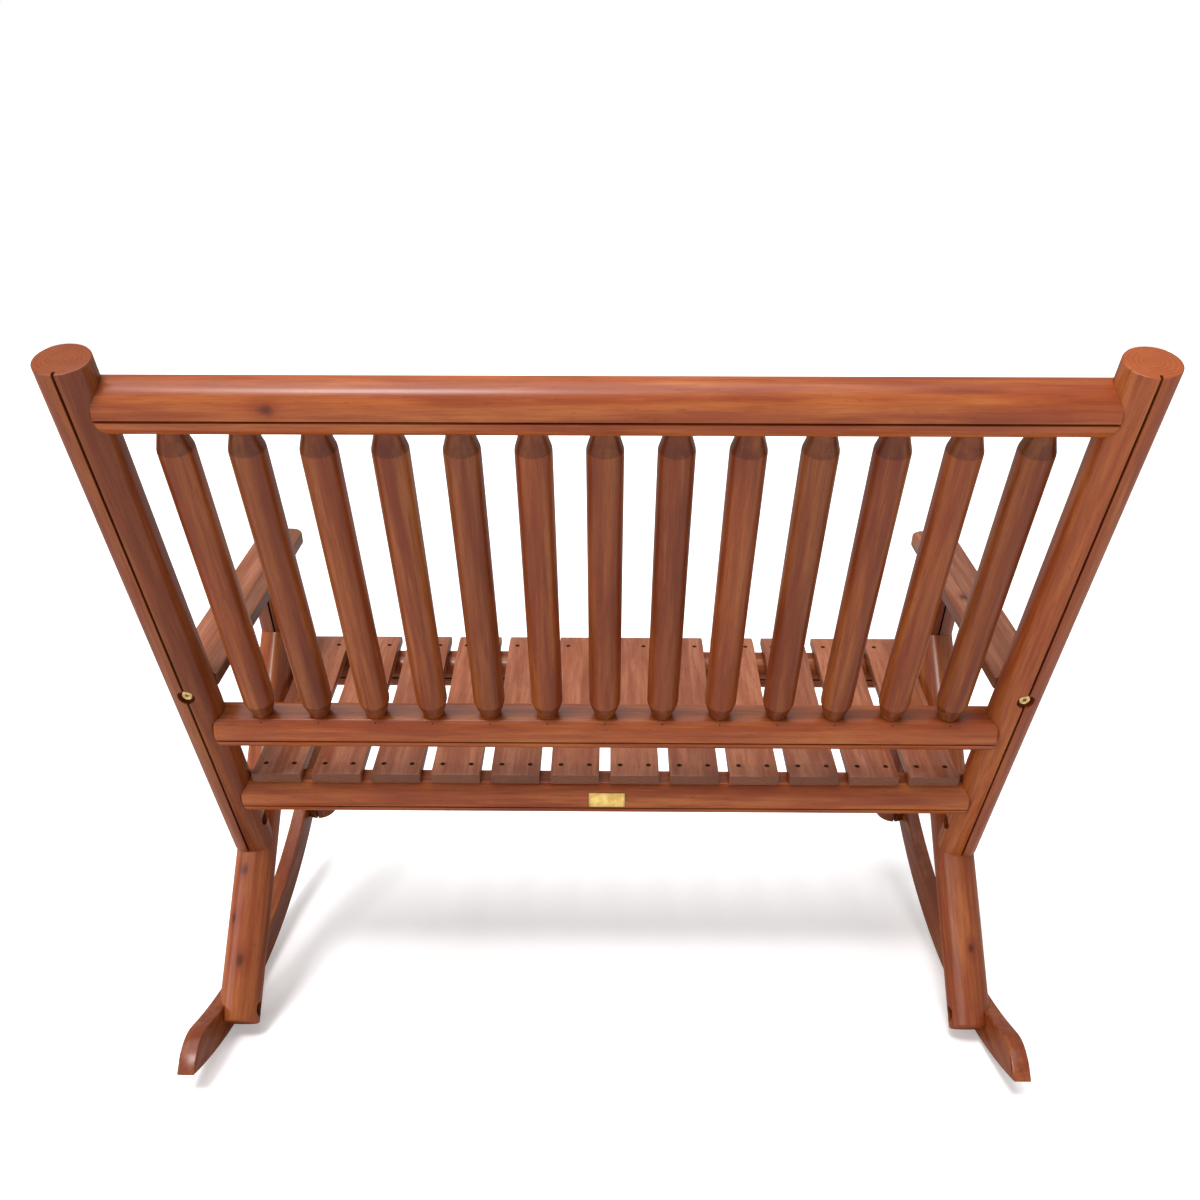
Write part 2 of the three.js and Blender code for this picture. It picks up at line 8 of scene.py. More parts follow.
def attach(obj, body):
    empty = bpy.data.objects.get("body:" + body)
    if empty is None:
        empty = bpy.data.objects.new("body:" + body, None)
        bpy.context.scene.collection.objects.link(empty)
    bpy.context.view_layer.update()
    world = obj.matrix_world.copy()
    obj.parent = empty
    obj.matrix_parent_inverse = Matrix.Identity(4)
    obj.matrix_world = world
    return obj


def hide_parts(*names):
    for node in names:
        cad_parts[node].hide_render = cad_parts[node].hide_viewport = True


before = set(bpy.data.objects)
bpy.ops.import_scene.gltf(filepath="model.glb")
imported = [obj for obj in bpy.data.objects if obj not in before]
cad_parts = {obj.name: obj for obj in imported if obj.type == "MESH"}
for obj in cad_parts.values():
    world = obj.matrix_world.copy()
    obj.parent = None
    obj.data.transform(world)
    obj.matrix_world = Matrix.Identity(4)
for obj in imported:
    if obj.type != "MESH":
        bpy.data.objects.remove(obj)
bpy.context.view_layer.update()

mm = 0.001
degree = math.pi / 180
quarter_turn = 90 * degree

# How near two places count as one, and the bend beyond which an edge is softened
touching = 0.01 * mm
crease_angle = 35 * degree

# Logs
log_radius = 33 * mm
log_rim = 4 * mm
post_top_rim = 1.8 * mm
rim_steps = 4
log_sides = 96
kerf_width = 3.5 * mm
kerf_depth = 7 * mm
rail_kerf_turn = -3 * degree
rest_gap = 0.3 * mm
overrun = 10 * mm

# Back posts and the rails between them
post_spacing = 1200 * mm
post_inset = 8.6 * mm
back_recline = 14.5 * degree
post_above_top_rail = 61 * mm
post_below_seat = 190 * mm
rail_end_inset = 20 * mm
top_rail_height = 665 * mm
top_rail_forward = 5 * mm
lower_rail_height = 117 * mm
lower_rail_backward = 4 * mm
post_above_seat = top_rail_height + post_above_top_rail
seat_rail_drop = 49 * mm

# Spindles of the back
spindle_count = 13
spindle_side_gap = 58.9 * mm
spindle_pitch = (post_spacing - 2 * (log_radius + spindle_side_gap)) / (spindle_count - 1)
spindle_radius = 22.8 * mm
spindle_neck_radius = 14.5 * mm
spindle_taper = 28 * mm
spindle_tenon = 18 * mm
spindle_flat = 4 * mm
spindle_sides = 64

# The eased shoulder below a spindle's taper: its length, and where its middle ring sits
shoulder_ease = 2 * mm
shoulder_ring_drop = 0.25
shoulder_ring_past = 0.4

# Nails that pin the spindles. Each ring of a small head is a share of its radius and a height
nail_radius = 1.3 * mm
nail_turn = 52 * degree
nail_sink = 1.2 * mm
nail_rings = [(1, 0), (1, 1.1 * mm), (0.6, 1.35 * mm)]
nail_sides = 12

# Seat slats and the front rail that carries them
slat_count = 12
slat_gap = 17.3 * mm
slat_side_gap = 8 * mm
slat_span = post_spacing - 2 * (log_radius + slat_side_gap)
slat_width = (slat_span - (slat_count - 1) * slat_gap) / slat_count
slat_length = 440 * mm
slat_thickness = 17.7 * mm
slat_dish = 3.6 * mm
slat_rise = 4.1 * mm
slat_edge = 1.3 * mm
front_rail_from_rear = 398 * mm
front_rail_drop = 49 * mm

# Points of a slat's top: how far along the slat each one is, then how much it has of the dish,
# of the rise at the front and of the rounded nose's fall
slat_top_shares = [
    (0.08, 0.35, 0, 0),
    (0.18, 0.8, 0, 0),
    (0.36, 1, 0, 0),
    (0.58, 1, 0, 0),
    (0.7, 0.35, 0.2, 0),
    (0.8, 0, 0.75, 0),
    (0.87, 0, 1, 0),
    (0.93, 0, 0.8, 0),
    (0.965, 0, 0.5, 0.05),
    (0.985, 0, 0, 0.2),
    (0.995, 0, 0, 0.5),
    (1, 0, 0, 1),
]
slat_nose = 7 * mm

# Screws that hold the slats
screw_inset = 16 * mm
rear_screw_from_rear = 30 * mm
front_screw_from_rear = 394 * mm
screw_radius = 4.2 * mm
screw_depth = 3.4 * mm
screw_hole_sides = 24
screw_rings = [(0.96, -2 * mm), (0.96, 0.4 * mm), (0.7, 1.1 * mm), (0.25, 1.3 * mm)]
screw_sides = 20
screw_slot_sizes = (0.7 * mm, 3.4 * mm, 1.6 * mm)
screw_slot_height = 1.3 * mm
front_screw_lift = 0.4 * screw_depth

# Legs and rockers
leg_inset = 2.5 * mm
leg_spacing = post_spacing - 2 * leg_inset
rear_leg_lean = 53.5 * degree
rear_leg_ahead = 2.8 * mm
rear_leg_drop = 238 * mm
front_leg_lean = 6.2 * degree
front_leg_from_rear = 386.3 * mm
rocker_radius = 981 * mm
rocker_centre_forward = 179 * mm
rocker_centre_height = 517.7 * mm
rocker_depth = 54 * mm
rocker_thickness = 27 * mm
rocker_notch_depth = 16 * mm
rocker_inner_face = leg_spacing / 2 + log_radius - rocker_notch_depth
rocker_tail = 31.3 * degree
rocker_toe = 20.5 * degree
rocker_end_slant = 27 * mm
rocker_corner_share = 0.7
rocker_corner_steps = 10
rocker_edge = 2.5 * mm
rocker_steps = 120
rocker_notch_reach = 40 * mm
board_edge_steps = 3
standing_face_half = 2 * degree
rear_foot_clearance = 1 * mm
front_foot_clearance = 8 * mm

# Armrests
arm_top = 205 * mm
arm_thickness = 21 * mm
arm_width = 75.5 * mm
arm_from_rear = 470 * mm
arm_horn_behind = 28 * mm
arm_outset = 3 * mm
arm_turn = 2 * degree
arm_corner_radius = 22 * mm
arm_corner_steps = 14
arm_edge = 3 * mm
arm_strip_inward = 11 * mm

# Bolt seats
counterbore_radius = 12.5 * mm
counterbore_depth = 12 * mm
bore_sides = 48
arm_bolt_height = 191 * mm
pocket_drop = 126 * mm
pocket_past_axis = 11 * mm
rocker_bolt_inset = 38 * mm

# Name plate, left bare
plate_length = 57 * mm
plate_height = 24 * mm
plate_thickness = 1.2 * mm
plate_turn = 26.5 * degree
plate_rightward = 3.5 * mm
plate_edge = 0.35 * mm
plate_steps = 16
plate_pin_radius = 1.5 * mm
plate_pin_inset = 3.2 * mm
plate_pin_sink = 0.2 * mm
plate_pin_rings = [(1, 0), (1, 0.3 * mm), (0.75, 0.7 * mm), (0.3, 0.85 * mm)]
plate_pin_sides = 24

# The sitter's sides, as ways along X
left, right = 1, -1
along_x = Vector((1, 0, 0))
along_y = Vector((0, 1, 0))
along_z = Vector((0, 0, 1))

# Where each piece's length and marked side lie, kept until the piece is dressed
lies = {}


# Places in the seat's own frame

def seat_place():
    """The seat's frame: its origin on the slats' rear top edge, leaned back with the whole bench."""
    corners = [v.co.copy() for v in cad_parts["seat_slat_01"].data.vertices]
    top = max(corners, key=lambda c: c.y)
    bottom = min(corners, key=lambda c: c.z)
    lean = math.atan2(top.y - bottom.y, top.z - bottom.z)
    return Matrix.Translation((0, top.y, top.z)) @ Matrix.Rotation(-lean, 4, "X")


def leaned(angle):
    """A direction straight up, leaned to the rear by an angle."""
    return Vector((0, math.sin(angle), math.cos(angle)))


def facing(angle):
    """The direction square to a leaned one, facing the rear."""
    return Vector((0, math.cos(angle), -math.sin(angle)))


post_up = leaned(back_recline)
post_rear = facing(back_recline)
rear_leg_up = leaned(-rear_leg_lean)
rear_leg_rear = facing(-rear_leg_lean)
front_leg_up = leaned(front_leg_lean)
front_leg_rear = facing(front_leg_lean)
rocker_centre = Vector((0, -rocker_centre_forward, rocker_centre_height))


def post_point(x, height, backward=0):
    return Vector((x, -post_inset, 0)) + post_up * height + post_rear * backward


def post_axis(side):
    start = post_point(side * post_spacing / 2, -post_below_seat)
    return start, post_up, post_above_seat + post_below_seat, post_rear


def rear_leg_point(side):
    return Vector((side * leg_spacing / 2, -rear_leg_ahead, -rear_leg_drop))


def front_leg_point(side):
    return Vector((side * leg_spacing / 2, -front_leg_from_rear, 0))


def point_on_circle(start, up, radius):
    """Where a line down from a point meets a circle round the rockers' centre."""
    from_centre = start - rocker_centre
    from_centre.x = 0
    half = from_centre.dot(-up)
    distance = -half + math.sqrt(half * half - from_centre.length_squared + radius * radius)
    return start - up * distance


def turn_between(first, second):
    """The sine of the angle between two directions seen from the side."""
    return first.y * second.z - first.z * second.y


def crossing(start, direction, other_start, other_direction):
    """Where two axes seen from the side cross, as a distance along the first one."""
    return turn_between(other_start - start, other_direction) / turn_between(direction, other_direction)


def leg_foot(start, up, rear, clearance):
    """The centre of a square sawn foot, whose front edge keeps clear of the rockers' lower edge."""
    return point_on_circle(start - rear * log_radius, up, rocker_radius - clearance) + rear * log_radius


def rear_leg_axis(side):
    foot = leg_foot(rear_leg_point(side), rear_leg_up, rear_leg_rear, rear_foot_clearance)
    length = crossing(foot, rear_leg_up, front_leg_point(side), front_leg_up)
    return foot, rear_leg_up, length, rear_leg_rear


def front_leg_axis(side):
    foot = leg_foot(front_leg_point(side), front_leg_up, front_leg_rear, front_foot_clearance)
    top = front_leg_point(side) + front_leg_up * ((arm_top - arm_thickness) / front_leg_up.z)
    return foot, front_leg_up, (top - foot).length + overrun * 2, front_leg_rear


def rail_axis(height, backward):
    half = post_spacing / 2 - rail_end_inset
    return post_point(-half, height, backward), along_x, 2 * half, post_rear


top_rail = rail_axis(top_rail_height, -top_rail_forward)
lower_rail = rail_axis(lower_rail_height, lower_rail_backward)
rear_seat_rail = rail_axis(-seat_rail_drop, 0)
front_rail_half = leg_spacing / 2 - rail_end_inset
front_rail_start = Vector((-front_rail_half, -front_rail_from_rear, -front_rail_drop))
front_seat_rail = (front_rail_start, along_x, 2 * front_rail_half, along_y)


def spindle_axis(index):
    x = ((spindle_count - 1) / 2 - index) * spindle_pitch
    low = post_point(x, lower_rail_height, lower_rail_backward)
    high = post_point(x, top_rail_height, -top_rail_forward)
    direction = (high - low).normalized()
    return low, direction, (high - low).length, facing(math.atan2(direction.y, direction.z))


# Steps of modelling by hand

def only(piece):
    bpy.ops.object.select_all(action="DESELECT")
    piece.select_set(True)
    bpy.context.view_layer.objects.active = piece


def edit(piece):
    only(piece)
    bpy.ops.object.mode_set(mode="EDIT")
    bpy.ops.mesh.select_mode(type="VERT")
    bpy.ops.mesh.select_all(action="SELECT")


def leave_edit():
    bpy.ops.mesh.select_all(action="SELECT")
    bpy.ops.mesh.normals_make_consistent(inside=False)
    bpy.ops.object.mode_set(mode="OBJECT")


def pick(piece, kind, wanted):
    """Selects the vertices, edges or faces that have all their corners where a test says."""
    bpy.ops.mesh.select_mode(type=kind)
    bpy.ops.mesh.select_all(action="DESELECT")
    mesh = bmesh.from_edit_mesh(piece.data)
    if kind == "VERT":
        for corner in mesh.verts:
            corner.select_set(wanted(corner.co))
    else:
        for element in mesh.edges if kind == "EDGE" else mesh.faces:
            element.select_set(all(wanted(corner.co) for corner in element.verts))
    bmesh.update_edit_mesh(piece.data)


def extrude(x, y, z):
    bpy.ops.mesh.extrude_region_move(TRANSFORM_OT_translate={"value": (x, y, z)})


def keep_place(piece):
    only(piece)
    bpy.ops.object.transform_apply(location=True, rotation=True, scale=True)


def apply_modifier(piece, kind, **settings):
    only(piece)
    modifier = piece.modifiers.new(kind.lower(), kind)
    for name, value in settings.items():
        setattr(modifier, name, value)
    bpy.ops.object.modifier_apply(modifier=modifier.name)


def cut(piece, *cutters):
    for cutter in cutters:
        apply_modifier(piece, "BOOLEAN", operation="DIFFERENCE", solver="EXACT", object=cutter)
        bpy.data.objects.remove(cutter)


def soften(piece, width, steps=2):
    settings = {"width": width, "segments": steps, "limit_method": "ANGLE", "angle_limit": crease_angle}
    apply_modifier(piece, "BEVEL", **settings)


def basis(start, direction, side):
    """The place of something drawn along Z with its marked side on Y."""
    across = side.cross(direction)
    turn = Matrix((across, side, direction)).transposed().to_4x4()
    return Matrix.Translation(start) @ turn


def lay(piece, place):
    lies[piece.name] = place
    piece.matrix_world = place
    keep_place(piece)
    return piece


def drawn(name, shape, **settings):
    """A new piece that starts as one of Blender's plain shapes."""
    bpy.ops.object.select_all(action="DESELECT")
    shape(**settings)
    piece = bpy.context.object
    piece.name = name
    keep_place(piece)
    return piece


def rod(name, radius, start, direction, length, side, sides):
    middle = (0, 0, length / 2)
    shape = bpy.ops.mesh.primitive_cylinder_add
    piece = drawn(name, shape, vertices=sides, radius=radius, depth=length, location=middle)
    return lay(piece, basis(start, direction, side))


def sized(piece, sizes, place):
    """Gives a plain shape its sizes, and then its place."""
    piece.scale = sizes
    keep_place(piece)
    piece.matrix_world = place
    keep_place(piece)
    return piece


def block(middle, sizes, directions):
    place = Matrix.Translation(middle) @ Matrix(directions).transposed().to_4x4()
    return sized(drawn("block", bpy.ops.mesh.primitive_cube_add, size=1), sizes, place)


def turned(name, rings, sides):
    """A turned piece that stands along Z, by the radius and the height of each of its rings."""
    radius, height = rings[0]
    shape = bpy.ops.mesh.primitive_circle_add
    piece = drawn(name, shape, vertices=sides, radius=radius, fill_type="NGON", location=(0, 0, height))
    edit(piece)
    for next_radius, next_height in rings[1:]:
        extrude(0, 0, next_height - height)
        scale = next_radius / radius
        if scale != 1:
            bpy.ops.transform.resize(value=(scale, scale, 1), center_override=(0, 0, next_height))
        radius, height = next_radius, next_height
    leave_edit()
    return piece


def small_head(name, radius, rings, sides, low=0):
    return turned(name, [(radius * share, low + height) for share, height in rings], sides)


def rim_rings(rim, end, inward):
    """The rounded rim of a sawn end, from its face to the log's side."""
    rings = []
    for step in range(rim_steps + 1):
        turn = step / rim_steps * quarter_turn
        rings.append((log_radius - rim * (1 - math.sin(turn)), end + inward * rim * (1 - math.cos(turn))))
    return rings


def log(name, start, direction, length, side, far_rim=log_rim):
    rings = rim_rings(log_rim, 0, 1) + rim_rings(far_rim, length, -1)[::-1]
    return lay(turned(name, rings, log_sides), basis(start, direction, side))


def log_cutter(start, direction, length, side):
    """The room that a log takes up in a piece coped against it."""
    from_point = start - direction * overrun
    return rod("cope", log_radius + rest_gap, from_point, direction, length + 2 * overrun, side, log_sides)


def strip_cutter(start, direction, length, side, width, depth, reach):
    """What a tool takes off along a log's side: how wide, how deep, and how far it reaches outward."""
    middle = start + direction * (length / 2) + side * (log_radius - depth + reach / 2)
    sizes = (width, reach, length + 2 * overrun)
    return block(middle, sizes, (side.cross(direction), side, direction))


def kerf(*axis):
    return strip_cutter(*axis, kerf_width, kerf_depth, kerf_depth + overrun)


def rail_kerf(start, direction, length, side):
    """The kerf of a rail, turned down a little from its rear."""
    return kerf(start, direction, length, Matrix.Rotation(rail_kerf_turn, 3, "X") @ side)


def planed_flat(start, direction, length, side, depth):
    return strip_cutter(start, direction, length, side, 2 * log_radius, depth, overrun)


def counterbore(surface, direction):
    """The seat of a bolt's head, bored from outside a surface to its depth."""
    across = along_z if abs(direction.x) > 0.5 else along_x
    start = surface - direction * (log_radius - counterbore_depth)
    return rod("bore", counterbore_radius, start, direction, log_radius, across, bore_sides)


def sawn(piece, place, normal):
    """Saws a piece across and closes it there."""
    edit(piece)
    bpy.ops.mesh.bisect(plane_co=place, plane_no=normal, use_fill=True, clear_outer=True)
    leave_edit()


# Shapes of the rockers

def circle_point(radius, angle):
    return rocker_centre + Vector((0, radius * math.sin(angle), -radius * math.cos(angle)))


def bent(name, width, thickness, first, outward, centre, angle, steps):
    """A strip bent round an axis along X, from where it starts and what is outward there."""
    piece = drawn(name, bpy.ops.mesh.primitive_plane_add, size=1)
    sized(piece, (width, thickness, 1), basis(first, along_x.cross(outward), outward))
    edit(piece)
    bpy.ops.mesh.spin(steps=steps, angle=angle, center=centre, axis=(-1, 0, 0))
    leave_edit()
    return piece


def band(name, inner, outer, from_x, width, toe, tail):
    """A strip bent round the rockers' centre, from one angle to another."""
    outward = (circle_point(1, toe) - rocker_centre).normalized()
    first = circle_point((inner + outer) / 2, toe)
    first.x = from_x + width / 2
    return bent(name, width, outer - inner, first, outward, rocker_centre, tail - toe, rocker_steps)


def corner_curve(end_angle, inward, outer):
    """A rocker's rounded upper corner, from where it leaves the top edge to the slanted end face."""
    top = rocker_radius - rocker_depth
    corner = circle_point(top, end_angle + inward * rocker_end_slant / top)
    bottom = circle_point(outer, end_angle)
    cut_back = (corner - bottom).length * rocker_corner_share
    on_end = corner.lerp(bottom, rocker_corner_share)
    start_angle = end_angle + inward * (rocker_end_slant + cut_back) / top
    on_top = circle_point(top, start_angle)
    shares = [step / rocker_corner_steps for step in range(rocker_corner_steps + 1)]
    return start_angle, [on_top.lerp(corner, t).lerp(corner.lerp(on_end, t), t) for t in shares]


def near(place):
    return lambda corner: abs(corner.y - place.y) < touching and abs(corner.z - place.z) < touching


def round_end(piece, end_angle, inward, outer):
    """Draws an end of the band out in steps, its upper edge following the rounded corner."""
    start_angle, curve = corner_curve(end_angle, inward, outer)
    top, bottom = curve[0], circle_point(outer, start_angle)
    edit(piece)
    for step, next_top in enumerate(curve[1:], 1):
        share = step / rocker_corner_steps
        next_bottom = circle_point(outer, start_angle + (end_angle - start_angle) * share)
        ahead = next_bottom - bottom
        pick(piece, "FACE", lambda corner: near(top)(corner) or near(bottom)(corner))
        extrude(*ahead)
        pick(piece, "VERT", near(top + ahead))
        bpy.ops.transform.translate(value=next_top - top - ahead)
        top, bottom = next_top, next_bottom
    leave_edit()


def rocker(side):
    outer = rocker_radius * math.cos(standing_face_half)
    inner = rocker_radius - rocker_depth
    from_x = rocker_inner_face if side == left else -rocker_inner_face - rocker_thickness
    toe = corner_curve(-rocker_toe, 1, outer)[0]
    tail = corner_curve(rocker_tail, -1, outer)[0]
    piece = band("rocker", inner, outer, from_x, rocker_thickness, toe, tail)
    round_end(piece, rocker_tail, -1, outer)
    round_end(piece, -rocker_toe, 1, outer)
    soften(piece, rocker_edge, board_edge_steps)
    middle = circle_point(rocker_radius, (rocker_tail - rocker_toe) / 2)
    middle.x = from_x
    along = (circle_point(1, rocker_tail) - circle_point(1, -rocker_toe)).normalized()
    lies[piece.name] = basis(middle, along, along_x)
    return piece


def rocker_notch(side):
    """The room that a rocker takes up in the legs that stand against it."""
    face = rocker_inner_face - rest_gap
    from_x = face if side == left else -face - log_radius
    inner = rocker_radius - rocker_depth - rest_gap
    outer = rocker_radius + rocker_notch_reach
    return band("notch", inner, outer, from_x, log_radius, -rocker_toe, rocker_tail)


# Seats of the bolts

def outer_seat(side, axis, spacing):
    """The seat on the outer side of a post or leg, where a rail's axis meets it."""
    place = axis[0].copy()
    place.x = side * (spacing / 2 + log_radius)
    return counterbore(place, Vector((-side, 0, 0)))


def arm_bolt_seat(side):
    rear = post_point(0, arm_bolt_height / post_up.z)
    surface = Vector((side * post_spacing / 2, rear.y + log_radius / post_rear.y, arm_bolt_height))
    return counterbore(surface, -along_y)


def post_leg_seat(side):
    foot, up, _, _ = post_axis(side)
    to_leg = crossing(foot, up, rear_leg_point(side), rear_leg_up)
    return counterbore(foot + up * (to_leg - log_radius / abs(turn_between(up, rear_leg_up))), up)


def rocker_bolt_seat(side, start, up):
    surface = point_on_circle(start, up, rocker_radius - rocker_bolt_inset)
    surface.x = side * (leg_spacing / 2 - log_radius)
    return counterbore(surface, Vector((side, 0, 0)))


def brace_seat(side):
    """The seat in the front leg's front, of the bolt into the rear leg's upper end."""
    foot, up, length, _ = rear_leg_axis(side)
    return counterbore(foot + up * (length + log_radius / abs(turn_between(up, front_leg_up))), -up)


def nut_pocket(side):
    middle = post_point(side * post_spacing / 2, -pocket_drop)
    middle.x = side * (post_spacing / 2 + pocket_past_axis)
    depth = log_radius + pocket_past_axis + overrun
    return rod("pocket", counterbore_radius, middle, Vector((-side, 0, 0)), depth, along_z, bore_sides)


# The bench's pieces

def back_post(side):
    axis = post_axis(side)
    piece = log("back_post", *axis, post_top_rim)
    cut(piece, kerf(*axis), log_cutter(*rear_leg_axis(side)), nut_pocket(side), arm_bolt_seat(side))
    cut(piece, *(outer_seat(side, rail, post_spacing) for rail in (top_rail, lower_rail, rear_seat_rail)))
    return piece


def rear_leg(side):
    axis = rear_leg_axis(side)
    piece = log("rear_leg", *axis)
    cut(piece, rocker_notch(side), log_cutter(*front_leg_axis(side)), post_leg_seat(side))
    cut(piece, rocker_bolt_seat(side, rear_leg_point(side), rear_leg_up))
    return piece


def front_leg(side):
    axis = front_leg_axis(side)
    piece = log("front_leg", *axis)
    top = front_leg_point(side)
    top.z = arm_top - arm_thickness - rest_gap
    sawn(piece, top, along_z)
    cut(piece, kerf(*axis), rocker_notch(side), brace_seat(side))
    cut(piece, outer_seat(side, front_seat_rail, leg_spacing))
    cut(piece, rocker_bolt_seat(side, front_leg_point(side), front_leg_up))
    return piece


def seat_flat(rail):
    """The flat that the slats rest on."""
    depth = rail[0].z + log_radius + slat_thickness + rest_gap
    return planed_flat(*rail[:3], along_z, depth)


def rail_between_posts(name, rail):
    piece = log(name, *rail)
    cut(piece, rail_kerf(*rail))
    cut(piece, *(log_cutter(*post_axis(side)) for side in (left, right)))
    return piece


def spindle_rail(name, rail, upward):
    """A rail with a flat toward the spindles that stand against it."""
    piece = rail_between_posts(name, rail)
    toward_spindles = spindle_axis(0)[1] * upward
    cut(piece, planed_flat(*rail[:3], toward_spindles, spindle_flat))
    return piece


def rear_rail():
    piece = rail_between_posts("rear_seat_rail", rear_seat_rail)
    cut(piece, seat_flat(rear_seat_rail))
    return piece


def front_rail():
    piece = log("front_seat_rail", *front_seat_rail)
    cut(piece, rail_kerf(*front_seat_rail), seat_flat(front_seat_rail))
    cut(piece, *(log_cutter(*front_leg_axis(side)) for side in (left, right)))
    return piece


def copied(piece, name, place):
    """A copy with its own mesh, laid in another place."""
    twin = piece.copy()
    twin.data = piece.data.copy()
    twin.name = name
    bpy.context.scene.collection.objects.link(twin)
    return lay(twin, place)


def spindle_blank():
    """A spindle along Z: a tenon, a taper and an eased shoulder at each end."""
    length = spindle_axis(0)[2]
    first = log_radius - spindle_tenon
    neck = log_radius - spindle_flat + rest_gap
    full = neck + spindle_taper
    drop = (spindle_radius - spindle_neck_radius) / spindle_taper * shoulder_ease
    half = [
        (spindle_neck_radius, first),
        (spindle_neck_radius, neck),
        (spindle_radius - drop, full - shoulder_ease),
        (spindle_radius - drop * shoulder_ring_drop, full + shoulder_ease * shoulder_ring_past),
        (spindle_radius, full + 2 * shoulder_ease),
    ]
    other = [(radius, length - height) for radius, height in reversed(half)]
    return turned("spindle_blank", half + other, spindle_sides)


def slat_blank():
    """A slat along Y: its top dished for the sitter, its front edge rounded over."""
    piece = drawn("slat_blank", bpy.ops.mesh.primitive_plane_add, size=1, rotation=(quarter_turn, 0, 0))
    sized(piece, (slat_width, 1, slat_thickness), Matrix.Translation((0, 0, -slat_thickness / 2)))
    edit(piece)
    along = height = 0
    for share, dish, rise, nose in slat_top_shares:
        step = share * slat_length - along
        extrude(0, -step, 0)
        along += step
        wanted_height = rise * slat_rise - dish * slat_dish - nose * slat_nose
        pick(piece, "VERT", lambda c: abs(c.y + along) < touching and c.z > -slat_thickness / 2)
        bpy.ops.transform.translate(value=(0, 0, wanted_height - height))
        height = wanted_height
        pick(piece, "FACE", lambda c: abs(c.y + along) < touching)
    leave_edit()
    soften(piece, slat_edge)
    for x, y in screw_places():
        bottom = Vector((x, y, -screw_depth))
        length = 4 * screw_depth
        cut(piece, rod("bore", screw_radius, bottom, along_z, length, along_x, screw_hole_sides))
    return piece


def screw_places():
    """Where a slat's four screws stand: two by its rear end and two over the front rail."""
    half = slat_width / 2 - screw_inset
    return [(x, -y) for y in (rear_screw_from_rear, front_screw_from_rear) for x in (-half, half)]


def screw_blank():
    """The four screws of one slat: low heads with a crossed slot."""
    heads = []
    slot_middle = Vector((0, 0, -screw_depth + screw_slot_height))
    for x, y in screw_places():
        head = small_head("screw", screw_radius, screw_rings, screw_sides, -screw_depth)
        for turn in (0, quarter_turn):
            across = Vector((math.cos(turn), math.sin(turn), 0))
            cut(head, block(slot_middle, screw_slot_sizes, (across, along_z.cross(across), along_z)))
        lift = front_screw_lift if -y > slat_length / 2 else 0
        head.matrix_world = Matrix.Translation((x, y, lift))
        keep_place(head)
        heads.append(head)
    return joined(heads, "screw_blank")


def joined(pieces, name):
    """One piece out of several."""
    bpy.ops.object.select_all(action="DESELECT")
    for piece in pieces:
        piece.select_set(True)
    bpy.context.view_layer.objects.active = pieces[0]
    bpy.ops.object.join()
    piece = bpy.context.object
    piece.name = name
    return piece


def armrest(side):
    """A board with rounded front corners, turned a little inward, its rear end coped to the post."""
    length = arm_from_rear + arm_horn_behind
    middle = Vector((0, arm_horn_behind - length / 2, 0))
    piece = block(middle, (arm_width, length, arm_thickness), (along_x, along_y, along_z))
    piece.name = "armrest"
    edit(piece)
    for way in (left, right):
        pick(piece, "EDGE", lambda c: c.y < middle.y - length / 4 and c.x * way > arm_width / 4)
        bpy.ops.mesh.bevel(offset=arm_corner_radius, segments=arm_corner_steps, affect="EDGES")
    leave_edit()
    soften(piece, arm_edge, board_edge_steps)
    shift = Matrix.Translation((side * (post_spacing / 2 + arm_outset), 0, arm_top - arm_thickness / 2))
    place = shift @ Matrix.Rotation(-side * arm_turn, 4, "Z")
    lay(piece, place)
    cut(piece, log_cutter(*post_axis(side)))
    lies[piece.name] = place @ basis(middle, -along_y, along_z)
    return piece


def name_plate():
    """The bare plate, bent round the rear seat rail, with a pin at each end."""
    inner = log_radius + rest_gap
    half = plate_height / (2 * log_radius)
    start = plate_turn - back_recline - half
    centre = rear_seat_rail[0].copy()
    centre.x = -plate_rightward
    outward = Vector((0, math.cos(start), math.sin(start)))
    first = centre + outward * (inner + plate_thickness / 2)
    piece = bent("name_plate", plate_length, plate_thickness, first, outward, centre, 2 * half, plate_steps)
    soften(piece, plate_edge)
    middle = start + half
    outward = Vector((0, math.cos(middle), math.sin(middle)))
    pins = []
    for side in (left, right):
        place = centre + outward * (inner + plate_thickness - plate_pin_sink)
        place.x = centre.x + side * (plate_length / 2 - plate_pin_inset)
        pin = small_head("pin", plate_pin_radius, plate_pin_rings, plate_pin_sides)
        pins.append(lay(pin, basis(place, outward, along_x)))
    plate = joined([piece] + pins, "name_plate")
    lies[plate.name] = basis(centre + outward * inner, along_x, outward)
    return plate


def nail_marks():
    """The nails that pin the spindles, set just under the lower rail's rear face."""
    marks = []
    for index in range(spindle_count):
        low, direction, _, side = spindle_axis(index)
        outward = (side * math.cos(nail_turn) + direction * math.sin(nail_turn)).normalized()
        start = low + outward * (log_radius - nail_sink)
        nail = small_head("nail", nail_radius, nail_rings, nail_sides)
        marks.append(lay(nail, basis(start, outward, along_x)))
    nails = joined(marks, "spindle_nails")
    lies[nails.name] = Matrix.Identity(4)
    return nails


# Finishes

def plain(red, green, blue):
    """A colour as a screen shows it, turned into light."""
    light = [c / 12.92 if c <= 0.04045 else ((c + 0.055) / 1.055) ** 2.4 for c in (red, green, blue)]
    return (*light, 1)


